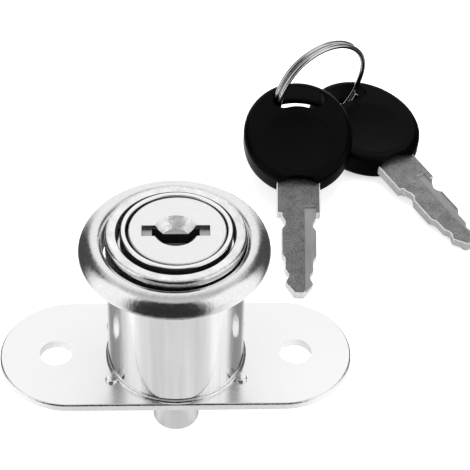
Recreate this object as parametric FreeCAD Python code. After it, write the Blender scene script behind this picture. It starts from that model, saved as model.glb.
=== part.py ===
import FreeCAD, Part
import math
import os

# A push cylinder lock for a sliding cabinet door, with its two keys on a split ring.
# Frame: +Z is the lock's axis and points out of its front face, X runs along the mounting plate,
# and the origin is the middle of the plate's upper face, which lies against the door.
# All lengths are in millimetres.

V = FreeCAD.Vector
UP = V(0, 0, 1)

# Clearances
slide_gap = 0.05        # radial, between pieces that slide or turn in each other
loose_gap = 0.15        # between inner pieces that only have to clear each other
cut_over = 1.0          # how far a cutting tool runs past the face that it cuts

# Mounting plate
plate_length = 57.4
plate_width = 23.0
plate_thickness = 1.5
fixing_spacing = 39.2
fixing_hole_d = 5.3
plate_edge_round = 0.35
spigot_d = 13.0

# Barrel
barrel_d = 22.0
barrel_top = 26.8
barrel_edge = 0.35
bore_d = 18.1
mouth_d = 18.5
mouth_depth = 2.2
barrel_floor = 1.3
foot_d = 22.9
foot_height = 0.55
foot_round = 0.4
lug_count = 4
lug_angle = 30.0
lug_reach = 1.6
lug_width = 1.9
lug_height = 0.45
bush_d = 10.4

# Rosette, the removable trim ring on the barrel's front end
rosette_d = 30.0
rosette_gap = 0.35
rosette_lip = 25.3
rosette_crest = 25.7
rosette_crest_run = 1.25
rosette_rim = 23.2
rosette_edge = 0.45
rosette_wall = 0.85
rosette_collar = 4.2
rosette_fullness = 0.7  # share of the run and of the rise at which each arc's middle lies

# Push cylinder
sleeve_top = 27.4
rim_gap = 0.55          # radial, round the cylinder's rim in the barrel's mouth
sleeve_rim_depth = 2.6
sleeve_rear = 4.4
cap_thickness = 1.5
cap_wall = 1.4
rear_room = 4.6
sleeve_edge = 0.22

# Plunger pin
pin_d = 7.6
pin_reach = 13.4        # below the plate's under side, with the cylinder pushed in
pin_end_edge = 0.2
pin_guide_d = 8.4       # the pin's upper stretch, which the bush guides
pin_guide_start = 0.2   # from the plate's under side down to the end of that stretch
tenon_d = 5.0
tenon_head_d = 6.6
tenon_head = 0.6
tenon_head_round = 0.35

# Plug
plug_d = 12.0
plug_face = 27.2
plug_head_d = 15.2
plug_head_gap = 0.4
tail_d = 9.0
tail_length = 3.3
neck_depth = 0.9        # the groove in the tail for the clip
clip_thickness = 0.5
clip_width = 3.1
clip_gap_angle = 70.0
face_edge = 0.25
cam_width = 3.0
keyway_width = 7.4
keyway_height = 2.1
key_seat_width = 10.6
key_seat_height = 2.4
key_seat_depth = 0.6
dish_d = 6.9
dish_floor_d = 4.4
dish_depth = 1.7
cam_lobe = 1.1

# Wafer tumblers
wafer_count = 7
wafer_pitch = 1.8
wafer_thickness = 0.9
wafer_width = 5.6
wafer_window = 7.7
wafer_window_height = 2.5
wafer_travel = 0.6
wafer_ear = 1.6
wafer_ear_width = 1.2
wafer_ear_place = 1.3
wafer_first = 1.1       # from the rear shoulder of the plug to the first wafer's middle
pocket_reach = 3.2

# Latch catch, a sprung plate that the plug's cam draws in
catch_thickness = 0.8
catch_width = 13.0
catch_back = 5.9
catch_front = 6.7
catch_nose_width = 3.2
catch_engagement = 0.55
catch_travel = 0.75
catch_window_r = 6.0
catch_window_back = 5.1
catch_window_front = 5.6

# Springs: wire, mean diameter, turns
return_wire = 0.7
return_mean_d = 13.0
return_turns = 2
return_end_gap = 0.05
wafer_spring_wire = 0.24
wafer_spring_d = 0.95
wafer_spring_turns = 4

# Keys
key_length = 48.0
key_thickness = 1.9
blade_width = 6.4
blade_length = 17.6
shank_width = 8.1
tip_width = 1.6
tip_slope = 2.3
first_cut = 3.8         # from the tip to the first cut's middle
cut_pitch = 1.65
cut_step = 0.6
cut_steps = (2, 1, 1, 0, 0, 0, 0, 1)
cut_flat = 0.7
key_groove_side = 1.1   # from the blade's middle line to the groove's near edge
key_groove_width = 2.1
key_groove_depth = 0.5
key_groove_length = 19.4
tang_length = 9.0
tang_width = 7.0
head_width = 20.8
head_height = 24.3
head_thickness = 5.0
head_edge = 1.3
head_notch_r = 6.2
head_notch = 1.5
ring_slot_radius = 8.1  # from the head's middle to the slot's middle line
ring_slot_width = 4.6
ring_slot_length = 10.2
thumb_dish_d = 14.0
thumb_dish_depth = 0.4
thumb_dish_drop = 2.6   # from the head's middle to the dish's middle

# Split ring: two flat turns of wire side by side, with one short step from the first to the second
ring_outer_d = 21.6
ring_wire = 1.0
ring_coil_gap = 0.46
ring_step_angle = 45.0

# The ring stands on its edge through both slots: its middle beside the lock, the way its axis faces,
# the axis's angle from +Z, and the place of the wire's step round the ring
ring_x = 28.73
ring_y = 74.12
ring_facing = -57.95
ring_lean = 92.39
ring_step_place = 200.0

# How each key hangs on the ring: the slot's middle has a place round the ring, lies so far outside
# the wire's middle circle and so far along the ring's axis. The heading turns the key from +Y, the
# tilt lifts its head, and it rolls a little. Key 1's head lies on key 2's, and its slot is key_stack
# higher. The tips rest on the level of the pin's end.
key_1_place = -87.24
key_1_out = -3.919
key_1_along = 1.312
key_1_heading = -2.2
key_1_tilt = 12.55
key_1_roll = 0.05
key_2_place = 41.09
key_2_out = -1.55
key_2_along = -0.263
key_2_heading = 29.65
key_2_tilt = 4.3
key_2_roll = 1.44
key_stack = 6.216

# Sizes and places that follow from the ones above
floor_level = -plate_thickness - pin_reach
barrel_r = barrel_d / 2
bore_r = bore_d / 2
mouth_r = mouth_d / 2
sleeve_r = bore_r - slide_gap
rim_r = mouth_r - rim_gap
rim_bore_r = plug_head_d / 2 + plug_head_gap
rim_floor = sleeve_top - sleeve_rim_depth
plug_r = plug_d / 2
plug_bore_r = plug_r + slide_gap
cap_top = sleeve_rear + cap_thickness
rear_bore_r = sleeve_r - cap_wall
plug_rear = cap_top + rear_room
tail_r = tail_d / 2
tail_end = plug_rear - tail_length
clip_top = plug_rear - loose_gap
clip_bottom = clip_top - clip_thickness
neck_r = tail_r - neck_depth
clip_r = neck_r + clip_width
catch_top = clip_bottom - loose_gap
catch_bottom = catch_top - catch_thickness
bush_bore_r = pin_guide_d / 2 + slide_gap
ring_mean_r = (ring_outer_d - ring_wire) / 2
slot_reach = key_length - head_height / 2 + ring_slot_radius


def cylinder(radius, bottom, top, x=0.0, y=0.0):
    return Part.makeCylinder(radius, top - bottom, V(x, y, bottom))


def tube(outer, inner, bottom, top):
    return cylinder(outer, bottom, top).cut(cylinder(inner, bottom - cut_over, top + cut_over))


def box(x0, x1, y0, y1, z0, z1):
    return Part.makeBox(x1 - x0, y1 - y0, z1 - z0, V(x0, y0, z0))


def turned(shape, angle, axis=UP, about=V(0, 0, 0)):
    copy = shape.copy()
    copy.rotate(about, axis, angle)
    return copy


def moved(shape, offset):
    copy = shape.copy()
    copy.translate(offset)
    return copy


def revolved(edges):
    """A solid of revolution about Z from edges in the XZ plane, in order and closed."""
    face = Part.Face(Part.Wire(edges))
    return face.revolve(V(0, 0, 0), UP, 360)


def profile(points):
    """Edges in the XZ plane: a point after the word arc is the middle of an arc to the next point."""
    edges = []
    here = V(points[0][0], 0, points[0][1])
    middle = None
    for step in points[1:] + [points[0]]:
        if step == "arc":
            middle = "wanted"
            continue
        place = V(step[0], 0, step[1])
        if middle == "wanted":
            middle = place
            continue
        if middle is None:
            edges.append(Part.LineSegment(here, place).toShape())
        else:
            edges.append(Part.Arc(here, middle, place).toShape())
            middle = None
        here = place
    return edges


def stadium(length, width, bottom, height):
    """A flat bar with round ends, along X."""
    half = (length - width) / 2
    r = width / 2
    low = Part.LineSegment(V(-half, -r, bottom), V(half, -r, bottom)).toShape()
    right = Part.Arc(V(half, -r, bottom), V(half + r, 0, bottom), V(half, r, bottom)).toShape()
    high = Part.LineSegment(V(half, r, bottom), V(-half, r, bottom)).toShape()
    left = Part.Arc(V(-half, r, bottom), V(-half - r, 0, bottom), V(-half, -r, bottom)).toShape()
    return Part.Face(Part.Wire([low, right, high, left])).extrude(V(0, 0, height))


def edges_at(shape, level):
    """The shape's edges that lie in the plane z = level."""
    return [edge for edge in shape.Edges
            if abs(edge.BoundBox.ZMin - level) < 1e-6 and abs(edge.BoundBox.ZMax - level) < 1e-6]


def biarc(start, start_way, end, end_way):
    """Two arcs that leave start along start_way and reach end along end_way."""
    chord = end - start
    ways = start_way + end_way
    spread = 2 * (1 - start_way.dot(end_way))
    along = chord.dot(ways)
    reach = (-along + math.sqrt(along ** 2 + spread * chord.dot(chord))) / spread
    join = (start + end + (start_way - end_way) * reach) * 0.5
    arcs = []
    corners = (start + start_way * reach, end - end_way * reach)
    for first, second, corner in ((start, join, corners[0]), (join, end, corners[1])):
        middle = (first + second) * 0.5
        half_chord = (second - first).Length / 2
        rise = (corner - middle).Length
        half_turn = math.atan2(rise, half_chord)
        crown = middle + (corner - middle) * (math.tan(half_turn / 2) / math.tan(half_turn))
        arcs.append(Part.Arc(first, crown, second).toShape())
    return arcs


def coil_path(mean_r, pitch, turns):
    """The middle line of an open coil about Z from z = 0, as biarcs of a quarter turn each."""
    def place(turn):
        angle = 2 * math.pi * turn
        return V(mean_r * math.cos(angle), mean_r * math.sin(angle), pitch * turn)

    def way(turn):
        angle = 2 * math.pi * turn
        return V(-mean_r * math.sin(angle), mean_r * math.cos(angle), pitch / (2 * math.pi)).normalize()

    edges = []
    for quarter in range(4 * turns):
        here, there = quarter / 4, (quarter + 1) / 4
        edges += biarc(place(here), way(here), place(there), way(there))
    return Part.Wire(edges)


def wound(path, wire):
    """A round wire along a path, as one tube."""
    first = path.OrderedEdges[0]
    section = Part.makeCircle(wire / 2, first.valueAt(first.FirstParameter),
                              first.tangentAt(first.FirstParameter))
    return path.makePipeShell([Part.Wire([section])], True, False)


def self_gap(path, mean_r, wire):
    """The least gap between two turns of a wire, measured on points of its middle line."""
    points_per_turn = 90
    turn_length = 2 * math.pi * mean_r
    count = int(points_per_turn * path.Length / turn_length)
    points = path.discretize(Number=count)
    least = min((points[i] - points[j]).Length for i in range(count)
                for j in range(i + points_per_turn // 2, count))
    return least - wire


# The lock's fixed pieces

def mounting_plate():
    plate = stadium(plate_length, plate_width, -plate_thickness, plate_thickness)
    plate = plate.makeFillet(plate_edge_round, edges_at(plate, 0) + edges_at(plate, -plate_thickness))
    plate = plate.cut(cylinder(spigot_d / 2, -plate_thickness - cut_over, cut_over))
    for side in (-1, 1):
        hole = cylinder(fixing_hole_d / 2, -plate_thickness - cut_over, cut_over, side * fixing_spacing / 2)
        plate = plate.cut(hole)
    return plate


def barrel_lug(angle):
    """A staked lug at the barrel's foot, flat on the plate."""
    reach = foot_d / 2 + lug_reach - lug_width / 2
    lug = box((bore_r + barrel_r) / 2, reach, -lug_width / 2, lug_width / 2, 0, lug_height)
    lug = lug.fuse(cylinder(lug_width / 2, 0, lug_height, reach))
    return turned(lug, angle)


def barrel_housing():
    body = cylinder(barrel_r, 0, barrel_top)
    body = body.makeFillet(barrel_edge, edges_at(body, barrel_top))
    foot = cylinder(foot_d / 2, 0, foot_height)
    foot = foot.makeFillet(foot_round, edges_at(foot, foot_height))
    body = body.fuse(foot)
    for i in range(lug_count):
        side = 180.0 * (i // 2)
        body = body.fuse(barrel_lug(side + (lug_angle if i % 2 else -lug_angle)))
    body = body.fuse(cylinder(spigot_d / 2, -plate_thickness, 0))
    body = body.cut(cylinder(bore_r, barrel_floor, barrel_top + cut_over))
    body = body.cut(cylinder(mouth_r, barrel_top - mouth_depth, barrel_top + cut_over))
    body = body.cut(cylinder(bush_d / 2, -plate_thickness - cut_over, barrel_floor + cut_over))
    notch_half = catch_nose_width / 2 + 2 * loose_gap
    notch_depth = bore_r + catch_engagement + 2 * loose_gap
    notch = box(-notch_half, notch_half, 0, notch_depth, catch_bottom - loose_gap, catch_top + loose_gap)
    return body.cut(notch).removeSplitter()


def guide_bush():
    return tube(bush_d / 2, bush_bore_r, -plate_thickness, barrel_floor)


def rosette():
    bore = barrel_r + rosette_gap
    rim = rosette_d / 2
    crest = bore + rosette_crest_run
    wall = bore + rosette_wall
    under = rosette_crest - rosette_wall
    foot = rosette_lip - rosette_collar
    edge = rosette_rim - rosette_edge
    rim_in = rim - rosette_wall

    def bulge(low, high):
        """The middle of an arc that rises steeply from its low end and levels off at its high end."""
        return (low[0] + (high[0] - low[0]) * (1 - rosette_fullness),
                low[1] + (high[1] - low[1]) * rosette_fullness)

    lip, top = (bore, rosette_lip), (crest, rosette_crest)
    outer, inner, inner_top = (rim, rosette_rim), (rim_in, edge), (wall, under)
    return revolved(profile([
        (bore, foot), lip, "arc", bulge(lip, top), top, "arc", bulge(outer, top), outer,
        (rim, edge), inner, "arc", bulge(inner, inner_top), inner_top, (wall, foot)]))


# The push cylinder

def wafer_level(index):
    return plug_rear + wafer_first + index * wafer_pitch


def cylinder_sleeve():
    body = cylinder(sleeve_r, sleeve_rear, rim_floor)
    body = body.fuse(cylinder(rim_r, rim_floor, sleeve_top))
    body = body.makeFillet(sleeve_edge, edges_at(body, sleeve_top))
    body = body.cut(cylinder(rim_bore_r, rim_floor, sleeve_top + cut_over))
    body = body.cut(cylinder(plug_bore_r, sleeve_rear - cut_over, sleeve_top))
    body = body.cut(cylinder(rear_bore_r, sleeve_rear - cut_over, plug_rear))
    groove_half = wafer_width / 2 + loose_gap
    groove_r = plug_r + wafer_travel + 2 * loose_gap
    low = wafer_level(0) - wafer_pitch / 2
    high = wafer_level(wafer_count - 1) + wafer_pitch / 2
    across = box(-groove_r, groove_r, -groove_half, groove_half, low, high)
    body = body.cut(across.fuse(turned(across, 90)))
    nose_half = catch_nose_width / 2 + loose_gap
    window = box(-nose_half, nose_half, 0, sleeve_r + cut_over,
                 catch_bottom - loose_gap, catch_top + loose_gap)
    return body.cut(window).removeSplitter()


def cylinder_end_cap():
    return tube(rear_bore_r, tenon_d / 2, sleeve_rear, cap_top)


def plunger_pin():
    guide_end = -plate_thickness - pin_guide_start
    body = cylinder(pin_d / 2, floor_level, guide_end)
    body = body.makeChamfer(pin_end_edge, edges_at(body, floor_level))
    body = body.fuse(cylinder(pin_guide_d / 2, guide_end, sleeve_rear))
    body = body.fuse(cylinder(tenon_d / 2, sleeve_rear, cap_top))
    head = cylinder(tenon_head_d / 2, cap_top, cap_top + tenon_head)
    head = head.makeFillet(tenon_head_round, edges_at(head, cap_top + tenon_head))
    return body.fuse(head).removeSplitter()


# The plug and its tumblers

def lock_plug():
    head = cylinder(plug_head_d / 2, rim_floor + slide_gap, plug_face)
    head = head.makeFillet(face_edge, edges_at(head, plug_face))
    body = cylinder(plug_r, plug_rear, rim_floor + slide_gap).fuse(head)
    body = body.fuse(cylinder(tail_r, tail_end, plug_rear))
    neck = tube(tail_r + cut_over, neck_r, clip_bottom, clip_top)
    body = body.cut(neck)
    lobe = box(0, tail_r + cam_lobe, -cam_width / 2, cam_width / 2, catch_bottom, catch_top)
    body = body.fuse(lobe.common(cylinder(tail_r + cam_lobe, catch_bottom, catch_top)))
    keyway = box(-keyway_width / 2, keyway_width / 2, -keyway_height / 2, keyway_height / 2,
                 tail_end - cut_over, plug_face + cut_over)
    body = body.cut(keyway)
    seat = box(-key_seat_width / 2, key_seat_width / 2, -key_seat_height / 2, key_seat_height / 2,
               plug_face - key_seat_depth, plug_face + cut_over)
    body = body.cut(seat)
    dish = Part.makeCone(dish_floor_d / 2, dish_d / 2, dish_depth, V(0, 0, plug_face - dish_depth))
    body = body.cut(dish)
    for i in range(wafer_count):
        low = wafer_level(i) - wafer_thickness / 2 - slide_gap
        high = wafer_level(i) + wafer_thickness / 2 + slide_gap
        half = wafer_width / 2 + slide_gap
        body = body.cut(box(-plug_d, plug_d, -half, half, low, high))
        ear = half + wafer_ear + slide_gap
        body = body.cut(box(-pocket_reach, pocket_reach, 0, ear, low, high))
    return body.removeSplitter()


def plug_clip():
    """A split clip in the groove of the plug's tail, behind the sleeve's shoulder."""
    inner = neck_r + slide_gap
    ring = tube(clip_r, inner, clip_bottom + slide_gap / 2, clip_top - slide_gap / 2)
    half = inner * math.sin(math.radians(clip_gap_angle / 2))
    return ring.cut(box(-half, half, -clip_r - cut_over, 0, clip_bottom - cut_over, clip_top + cut_over))


def wafer(index):
    """A flat tumbler with a window for the key and an ear for its spring, flush with the plug."""
    low = wafer_level(index) - wafer_thickness / 2
    high = low + wafer_thickness
    body = cylinder(plug_r - slide_gap, low, high)
    body = body.common(box(-plug_r, plug_r, -wafer_width / 2, wafer_width / 2, low, high))
    ear = box(wafer_ear_place, wafer_ear_place + wafer_ear_width, 0, wafer_width / 2 + wafer_ear, low, high)
    body = body.fuse(ear)
    window = box(-wafer_window / 2, wafer_window / 2, -wafer_window_height / 2, wafer_window_height / 2,
                 low - cut_over, high + cut_over)
    return body.cut(window).removeSplitter()


def wafer_springs():
    """One small coil per tumbler, between the pocket's end and the tumbler's ear."""
    start = -pocket_reach + wafer_spring_wire
    end = wafer_ear_place - wafer_spring_wire
    pitch = (end - start) / wafer_spring_turns
    path = coil_path((wafer_spring_d - wafer_spring_wire) / 2, pitch, wafer_spring_turns)
    spring = turned(wound(path, wafer_spring_wire), 90, V(0, 1, 0))
    across = wafer_width / 2 + wafer_ear / 2 + slide_gap
    return Part.makeCompound([moved(spring, V(start, across, wafer_level(i))) for i in range(wafer_count)])


def latch_catch():
    """A plate round the plug's tail, with a nose through the sleeve, that the cam draws back."""
    low, high = catch_bottom, catch_top
    outer_r = rear_bore_r - 2 * slide_gap
    body = cylinder(outer_r, low, high).common(cylinder(outer_r, low, high, 0, catch_travel))
    body = body.common(box(-catch_width / 2, catch_width / 2, -catch_back, catch_front, low, high))
    nose_half = catch_nose_width / 2
    body = body.fuse(box(-nose_half, nose_half, 0, bore_r + catch_engagement, low, high))
    window = cylinder(catch_window_r, low - cut_over, high + cut_over)
    window = window.common(box(-plug_d, plug_d, -catch_window_back, catch_window_front,
                               low - cut_over, high + cut_over))
    return body.cut(window).removeSplitter()


def return_spring():
    room = sleeve_rear - barrel_floor - return_wire - 2 * return_end_gap
    path = coil_path(return_mean_d / 2, room / return_turns, return_turns)
    print("return spring: gap to itself %.2f mm" % self_gap(path, return_mean_d / 2, return_wire))
    return moved(wound(path, return_wire), V(0, 0, barrel_floor + return_end_gap + return_wire / 2))


# The keys, each in its own frame: the tip at the origin, the head along +Y, flat in XY

def blade_outline():
    """Half widths along the blade, from the tip to the shoulder, with the cuts the same on both edges."""
    half = blade_width / 2
    side = [(0.0, tip_width / 2), (tip_slope, half - cut_step)]
    for i, steps in enumerate(cut_steps):
        middle = first_cut + i * cut_pitch
        depth = half - steps * cut_step
        side += [(middle - cut_flat / 2, depth), (middle + cut_flat / 2, depth)]
    side += [(blade_length - cut_flat, half), (blade_length, half)]
    kept = []
    for place, width in side:
        if len(kept) > 1 and kept[-1][1] == kept[-2][1] == width:
            kept.pop()
        kept.append((place, width))
    return kept


def key_blade():
    side = blade_outline()
    right = [V(width, place, 0) for place, width in side]
    left = [V(-width, place, 0) for place, width in reversed(side)]
    head_foot = key_length - head_height
    shoulder = shank_width / 2
    tang = tang_width / 2
    high = head_foot + head_notch
    top = head_foot + tang_length
    upper = [V(shoulder, blade_length, 0), V(shoulder, high, 0), V(tang, high, 0), V(tang, top, 0)]
    mirrored = [V(-p.x, p.y, 0) for p in reversed(upper)]
    outline = right + upper + mirrored + left
    face = Part.Face(Part.makePolygon(outline + [outline[0]]))
    body = moved(face.extrude(V(0, 0, key_thickness)), V(0, 0, -key_thickness / 2))
    groove = box(key_groove_side, key_groove_side + key_groove_width, -cut_over, key_groove_length,
                 key_thickness / 2 - key_groove_depth, key_thickness)
    body = body.cut(groove)
    return body.cut(turned(groove, 180, V(0, 1, 0)))


def ring_slot(middle):
    """The curved slot in a key's head, as a solid that runs through it."""
    half_turn = math.degrees((ring_slot_length - ring_slot_width) / 2 / ring_slot_radius)
    inner = ring_slot_radius - ring_slot_width / 2
    outer = ring_slot_radius + ring_slot_width / 2
    deep = head_thickness + 2 * cut_over
    ring = Part.makeCylinder(outer, deep, V(0, 0, -deep / 2), UP, 2 * half_turn)
    ring = ring.cut(Part.makeCylinder(inner, deep, V(0, 0, -deep / 2)))
    slot = turned(ring, 90 - half_turn)
    for side in (-1, 1):
        angle = math.radians(90 + side * half_turn)
        end = V(ring_slot_radius * math.cos(angle), ring_slot_radius * math.sin(angle), -deep / 2)
        slot = slot.fuse(Part.makeCylinder(ring_slot_width / 2, deep, end))
    return moved(slot.removeSplitter(), V(0, middle, 0))


def thumb_dish(middle):
    """A shallow hollow in the head's upper face, as the ball that presses it."""
    ball_r = ((thumb_dish_d / 2) ** 2 + thumb_dish_depth ** 2) / (2 * thumb_dish_depth)
    lowest = head_thickness / 2 - thumb_dish_depth
    return Part.makeSphere(ball_r, V(0, middle - thumb_dish_drop, lowest + ball_r))


def key_head(blade):
    middle = key_length - head_height / 2
    oval = Part.Ellipse(V(0, middle + head_height / 2, 0), V(head_width / 2, middle, 0), V(0, middle, 0))
    face = Part.Face(Part.Wire([oval.toShape()]))
    body = moved(face.extrude(V(0, 0, head_thickness)), V(0, 0, -head_thickness / 2))
    notch_place = key_length - head_height + head_notch - head_notch_r
    body = body.cut(cylinder(head_notch_r, -head_thickness, head_thickness, 0, notch_place))
    rims = edges_at(body, head_thickness / 2) + edges_at(body, -head_thickness / 2)
    body = body.makeFillet(head_edge, rims)
    body = body.cut(ring_slot(middle))
    dish = thumb_dish(middle)
    body = body.cut(dish).cut(turned(dish, 180, V(0, 1, 0)))
    return body.cut(blade)


def set_places():
    """Where the ring and the keys lie: the slots hang on the ring, and the lowest point is on the floor."""
    stand = FreeCAD.Rotation(UP, ring_facing).multiply(FreeCAD.Rotation(V(0, 1, 0), ring_lean))

    def beside_wire(angle, out, along):
        reach = ring_mean_r + out
        turn = math.radians(angle)
        return stand.multVec(V(reach * math.cos(turn), reach * math.sin(turn), along))

    def laid(slot, heading, tilt, roll):
        turn = FreeCAD.Rotation(UP, heading)
        turn = turn.multiply(FreeCAD.Rotation(V(1, 0, 0), tilt))
        turn = turn.multiply(FreeCAD.Rotation(V(0, 1, 0), roll))
        return FreeCAD.Placement(slot - turn.multVec(V(0, slot_reach, 0)), turn)

    slot_2 = beside_wire(key_2_place, key_2_out, key_2_along)
    slot_1 = beside_wire(key_1_place, key_1_out, key_1_along)
    slot_1.z = slot_2.z + key_stack
    places = {
        "key_1": laid(slot_1, key_1_heading, key_1_tilt, key_1_roll),
        "key_2": laid(slot_2, key_2_heading, key_2_tilt, key_2_roll),
        "ring": FreeCAD.Placement(V(0, 0, 0), stand.multiply(FreeCAD.Rotation(UP, ring_step_place))),
    }
    tips = [places[key].multVec(V(side * tip_width / 2, 0, -key_thickness / 2)).z
            for key in ("key_1", "key_2") for side in (-1, 1)]
    rest = V(ring_x, ring_y, floor_level - min(tips + [-ring_outer_d / 2]))
    for place in places.values():
        place.move(rest)
    return places


def placed(shape, place):
    copy = shape.copy()
    copy.Placement = place.multiply(copy.Placement)
    return copy


def key_ring(place_of_ring):
    """The split ring: a flat turn, the step, and a second flat turn beside the first."""
    level = (ring_wire + ring_coil_gap) / 2
    flat = math.radians(360 - ring_step_angle)

    def place(angle, height):
        return V(ring_mean_r * math.cos(angle), ring_mean_r * math.sin(angle), height)

    def flat_turn(height):
        arcs = []
        for start, end in ((0, flat / 2), (flat / 2, flat)):
            middle = place((start + end) / 2, height)
            arcs.append(Part.Arc(place(start, height), middle, place(end, height)).toShape())
        return arcs

    step = biarc(place(flat, -level), V(-math.sin(flat), math.cos(flat), 0), place(0, level), V(0, 1, 0))
    path = Part.Wire(flat_turn(-level) + step + flat_turn(level))
    print("key ring: gap to itself %.2f mm" % self_gap(path, ring_mean_r, ring_wire))
    return placed(wound(path, ring_wire), place_of_ring)


def build():
    pieces = {
        "mounting_plate": mounting_plate(),
        "barrel_housing": barrel_housing(),
        "guide_bush": guide_bush(),
        "rosette": rosette(),
        "return_spring": return_spring(),
        "cylinder_sleeve": cylinder_sleeve(),
        "cylinder_end_cap": cylinder_end_cap(),
        "plunger_pin": plunger_pin(),
        "lock_plug": lock_plug(),
        "plug_clip": plug_clip(),
        "latch_catch": latch_catch(),
        "wafer_springs": wafer_springs(),
    }
    for i in range(wafer_count):
        pieces["wafer_%d" % (i + 1)] = wafer(i)
    blade = key_blade()
    head = key_head(blade)
    places = set_places()
    for key in ("key_1", "key_2"):
        pieces[key + "_blade"] = placed(blade, places[key])
        pieces[key + "_head"] = placed(head, places[key])
    pieces["key_ring"] = key_ring(places["ring"])
    return pieces


os.makedirs("parts", exist_ok=True)
for name, shape in build().items():
    solids = shape.Solids
    print("%-18s %d solid, %.2f mm3, valid %s" % (name, len(solids), shape.Volume, shape.isValid()))
    shape.exportStep("parts/%s.step" % name)
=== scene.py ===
import bmesh
import bpy
import math
from mathutils import Matrix, Vector


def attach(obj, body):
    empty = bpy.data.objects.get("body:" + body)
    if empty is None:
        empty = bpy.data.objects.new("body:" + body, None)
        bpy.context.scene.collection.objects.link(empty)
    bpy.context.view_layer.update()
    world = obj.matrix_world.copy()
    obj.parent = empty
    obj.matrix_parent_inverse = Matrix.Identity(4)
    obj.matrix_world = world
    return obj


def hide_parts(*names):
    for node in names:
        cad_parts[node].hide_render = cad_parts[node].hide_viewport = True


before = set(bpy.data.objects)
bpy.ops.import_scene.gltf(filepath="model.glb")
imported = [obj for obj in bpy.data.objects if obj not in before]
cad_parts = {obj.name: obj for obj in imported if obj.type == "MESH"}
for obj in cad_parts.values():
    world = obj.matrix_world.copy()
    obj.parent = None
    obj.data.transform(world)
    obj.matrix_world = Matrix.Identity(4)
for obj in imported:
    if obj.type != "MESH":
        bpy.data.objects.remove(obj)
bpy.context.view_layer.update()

# Sizes in millimetres; every mesh is written in metres through MM
MM = 0.001

# How far a cutter runs on past a face, and a distance that tells two levels apart
past, near = 1.0, 0.02

# Mounting plate
plate_length, plate_width, plate_thickness, plate_rounding = 57.4, 23.0, 1.5, 0.3
fixing_spacing, fixing_hole_d, fixing_relief, spigot_d = 39.2, 5.3, 0.15, 13.0

# Barrel
barrel_r, barrel_top, bore_r, bush_r = 11.0, 26.8, 9.05, 5.2
mouth_r, mouth_depth, mouth_rounding, barrel_floor = 9.25, 2.2, 0.15, 1.3
barrel_rounding, barrel_band, barrel_lip, spigot_rounding = 0.35, 0.9, 0.55, 0.12
foot_r, foot_height, foot_rounding, foot_fillet = 11.45, 0.55, 0.35, 0.1
lug_angle, lug_reach, lug_width, lug_height = 30.0, 1.6, 1.9, 0.45
lug_root, lug_rounding = 0.3, 0.25

# Rosette
rosette_bore, rosette_r, rosette_lip, rosette_crest, rosette_rim = 11.35, 14.99, 25.3, 25.7, 23.2
rosette_crest_run, rosette_edge, rosette_wall, rosette_collar = 1.25, 0.45, 0.85, 4.2
rosette_chamfer, collar_chamfer = 0.1, 0.12

# Push cylinder and pin
sleeve_r, rim_r, rim_bore, plug_bore, rear_bore = 9.0, 8.7, 7.95, 6.05, 7.6
sleeve_top, rim_floor, sleeve_rear, plug_rear = 27.4, 24.8, 4.4, 10.5
sleeve_rounding, rim_rounding, rim_bore_rounding = 0.15, 0.18, 0.1
wafer_groove_r, wafer_groove_half = 6.9, 2.95
window_half, window_reach, window_play = 1.75, 10.0, 0.15
pin_r, pin_end, pin_guide_r, pin_guide_end, pin_rounding = 3.8, -14.9, 4.2, -1.7, 0.2
tenon_r, cap_top, tenon_head_r, tenon_head, tenon_rounding = 2.5, 5.9, 3.3, 0.6, 0.3

# Plug
plug_r, plug_head_r, plug_face, plug_shoulder, plug_rounding = 6.0, 7.6, 27.2, 24.85, 0.22
tail_r, neck_r, tail_end, tail_rounding = 4.5, 3.6, 7.2, 0.1
clip_low, clip_high = 9.85, 10.35
lobe_reach, lobe_half, catch_low, catch_high = 5.6, 1.5, 8.9, 9.7
keyway_width, keyway_height = 7.4, 2.1
seat_width, seat_height, seat_depth = 10.6, 2.4, 0.6
dish_r, dish_floor_r, dish_depth = 3.45, 2.2, 1.7
wafer_count, wafer_pitch, wafer_first = 7, 1.8, 1.1
slot_reach, slot_half_z, slot_half_y, ear_y, pocket_x = 8.0, 0.5, 2.85, 4.5, 3.2

# How far down from the plug's face light reaches between the rim and the plug; below it the rim's bore is
# painted dark as painted shade
rim_gap_lit = 0.32

# Play: how far these pieces sit off the axis, along X and Y
rosette_play, rim_play, plug_play = (-0.2, 0.0), (0.15, 0.0), (0.25, 0.15)

# Keys
key_length, key_thickness = 48.0, 1.9
blade_width, blade_length, blade_bevel = 6.4, 17.6, 0.16
shank_width, shank_rounding, shank_in_head, stop_rounding = 8.1, 0.35, 0.3, 0.12
tip_width, tip_slope, tip_rounding, nose_rounding = 1.6, 2.3, 0.3, 0.5
first_cut, cut_pitch, cut_step, cut_flat, cut_rounding = 3.8, 1.65, 0.6, 0.7, 0.32
cut_steps = (2, 1, 1, 0, 0, 0, 0, 1)
groove_side, groove_width, groove_depth, groove_length = 1.1, 2.1, 0.5, 19.4
tang_length, tang_width, tang_play = 9.0, 7.0, 0.02
head_width, head_height, head_thickness, head_edge = 20.8, 24.3, 5.0, 1.3
head_notch_r, head_notch, notch_relief = 6.2, 1.5, 0.35
slot_radius, slot_width, slot_length, slot_relief = 8.1, 4.6, 10.2, 0.6
thumb_dish_r, thumb_dish_depth, thumb_dish_drop, bowl_overrun = 7.0, 0.4, 2.6, 1.3

# Where each key's tip is, its heading, its tilt and its roll in degrees
key_places = {1: (22.37, 26.77, -2.2, 12.55, 0.05), 2: (55.0, 39.54, 29.65, 4.3, 1.44)}

# Split ring, two turns of wire at plus and minus ring_level, with a step from one to the other
ring_mean_r, ring_wire_r, ring_level, ring_step_angle, ring_points = 10.3, 0.5, 0.57, 72.0, 300
ring_middle, ring_facing, ring_lean, ring_step_place = (28.73, 74.12, -4.06), -57.95, 92.39, 134.0

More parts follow.
